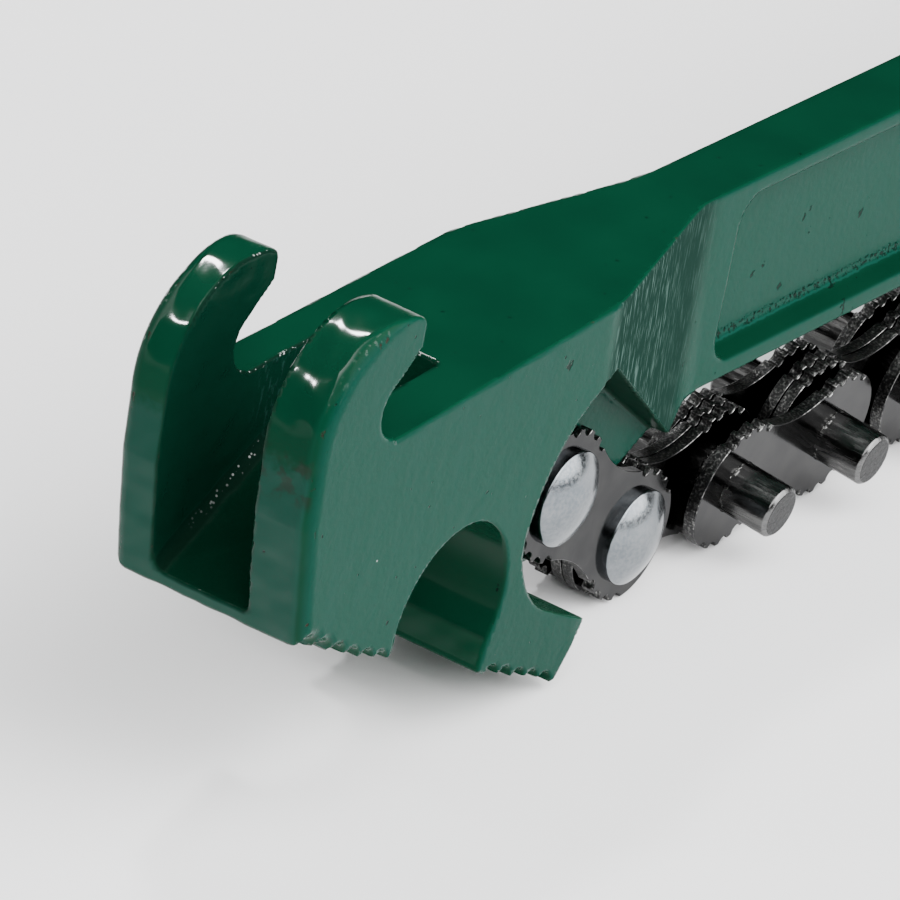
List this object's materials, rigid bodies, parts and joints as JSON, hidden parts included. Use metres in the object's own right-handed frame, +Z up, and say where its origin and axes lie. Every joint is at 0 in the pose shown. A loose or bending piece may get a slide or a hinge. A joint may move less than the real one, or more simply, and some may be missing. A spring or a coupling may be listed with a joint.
{
  "type": "chain wrench",
  "caption": "Hand chain wrench: a cast lever with a toothed foot and hooked horns, and a pinned leaf chain that wraps a pipe and hooks over the horns",
  "frame": {"origin": "bottom centre of the whole wrench as it lies in the picture, on the table plane", "axes": "+X from the horns to the end of the lever, +Y across the width to the side away from the camera, +Z up"},
  "size_m": [0.359, 0.0198, 0.0485],
  "materials": {
    "green_enamel": "glossy dark green enamel over a rough casting",
    "black_steel": "black-oxide stamped steel",
    "dark_steel": "dark heat-treated steel, cut ends",
    "zinc_steel": "zinc-plated, slightly mottled"
  },
  "bodies": {
    "wrench": {"lever_casting": "green_enamel"},
    "link01": {"link01_plates": "black_steel", "link01_rivets": "zinc_steel"},
    "link02": {"link02_plates": "black_steel"},
    "link03": {"link03_plates": "black_steel", "link03_pins": "dark_steel"},
    "link04": {"link04_plates": "black_steel"},
    "link05": {"link05_plates": "black_steel", "link05_pins": "dark_steel"},
    "link06": {"link06_plates": "black_steel"},
    "link07": {"link07_plates": "black_steel", "link07_pins": "dark_steel"},
    "link08": {"link08_plates": "black_steel"},
    "link09": {"link09_plates": "black_steel", "link09_pins": "dark_steel"},
    "link10": {"link10_plates": "black_steel"},
    "link11": {"link11_plates": "black_steel", "link11_pins": "dark_steel"},
    "link12": {"link12_plates": "black_steel"},
    "link13": {"link13_plates": "black_steel", "link13_pins": "dark_steel"},
    "link14": {"link14_plates": "black_steel"},
    "link15": {"link15_plates": "black_steel", "link15_pins": "dark_steel"},
    "link16": {"link16_plates": "black_steel"},
    "link17": {"link17_plates": "black_steel", "link17_pins": "dark_steel"},
    "link18": {"link18_plates": "black_steel"},
    "link19": {"link19_plates": "black_steel", "link19_pins": "dark_steel"}
  },
  "joints": [
    {"name": "link01_hinge", "type": "hinge", "parent": "wrench", "child": "link01", "pos_m": [-0.12604, 0, 0.01477], "axis": [0, 1, 0], "range_deg": [0, 36]},
    {"name": "link02_hinge", "type": "hinge", "parent": "link01", "child": "link02", "pos_m": [-0.11259, 0, 0.00635], "axis": [0, 1, 0], "range_deg": [0, 15]},
    {"name": "link03_hinge", "type": "hinge", "parent": "link02", "child": "link03", "pos_m": [-0.09672, -0.00111, 0.00674], "axis": [0, 0.9922, 0.1245], "range_deg": [0, 15]},
    {"name": "link04_hinge", "type": "hinge", "parent": "link03", "child": "link04", "pos_m": [-0.08084, -0.00111, 0.00674], "axis": [0, 0.9922, 0.1245], "range_deg": [0, 15]},
    {"name": "link05_hinge", "type": "hinge", "parent": "link04", "child": "link05", "pos_m": [-0.06497, -0.00111, 0.00674], "axis": [0, 0.9922, 0.1245], "range_deg": [0, 15]},
    {"name": "link06_hinge", "type": "hinge", "parent": "link05", "child": "link06", "pos_m": [-0.04909, -0.00111, 0.00674], "axis": [0, 0.9922, 0.1245], "range_deg": [0, 15]},
    {"name": "link07_hinge", "type": "hinge", "parent": "link06", "child": "link07", "pos_m": [-0.03322, -0.00111, 0.00674], "axis": [0, 0.9922, 0.1245], "range_deg": [0, 15]},
    {"name": "link08_hinge", "type": "hinge", "parent": "link07", "child": "link08", "pos_m": [-0.01734, -0.00111, 0.00674], "axis": [0, 0.9922, 0.1245], "range_deg": [0, 15]},
    {"name": "link09_hinge", "type": "hinge", "parent": "link08", "child": "link09", "pos_m": [-0.00147, -0.00111, 0.00674], "axis": [0, 0.9922, 0.1245], "range_deg": [0, 15]},
    {"name": "link10_hinge", "type": "hinge", "parent": "link09", "child": "link10", "pos_m": [0.01441, -0.00111, 0.00674], "axis": [0, 0.9922, 0.1245], "range_deg": [0, 15]},
    {"name": "link11_hinge", "type": "hinge", "parent": "link10", "child": "link11", "pos_m": [0.03028, -0.00111, 0.00674], "axis": [0, 0.9922, 0.1245], "range_deg": [0, 15]},
    {"name": "link12_hinge", "type": "hinge", "parent": "link11", "child": "link12", "pos_m": [0.04616, -0.00111, 0.00674], "axis": [0, 0.9922, 0.1245], "range_deg": [0, 15]},
    {"name": "link13_hinge", "type": "hinge", "parent": "link12", "child": "link13", "pos_m": [0.06203, -0.00111, 0.00674], "axis": [0, 0.9922, 0.1245], "range_deg": [0, 15]},
    {"name": "link14_hinge", "type": "hinge", "parent": "link13", "child": "link14", "pos_m": [0.07791, -0.00111, 0.00674], "axis": [0, 0.9922, 0.1245], "range_deg": [0, 15]},
    {"name": "link15_hinge", "type": "hinge", "parent": "link14", "child": "link15", "pos_m": [0.09378, -0.00111, 0.00674], "axis": [0, 0.9922, 0.1245], "range_deg": [0, 15]},
    {"name": "link16_hinge", "type": "hinge", "parent": "link15", "child": "link16", "pos_m": [0.10966, -0.00111, 0.00674], "axis": [0, 0.9922, 0.1245], "range_deg": [0, 15]},
    {"name": "link17_hinge", "type": "hinge", "parent": "link16", "child": "link17", "pos_m": [0.12553, -0.00111, 0.00674], "axis": [0, 0.9922, 0.1245], "range_deg": [0, 15]},
    {"name": "link18_hinge", "type": "hinge", "parent": "link17", "child": "link18", "pos_m": [0.14141, -0.00111, 0.00674], "axis": [0, 0.9922, 0.1245], "range_deg": [0, 15]},
    {"name": "link19_hinge", "type": "hinge", "parent": "link18", "child": "link19", "pos_m": [0.15728, -0.00111, 0.00674], "axis": [0, 0.9922, 0.1245], "range_deg": [0, 15]}
  ]
}
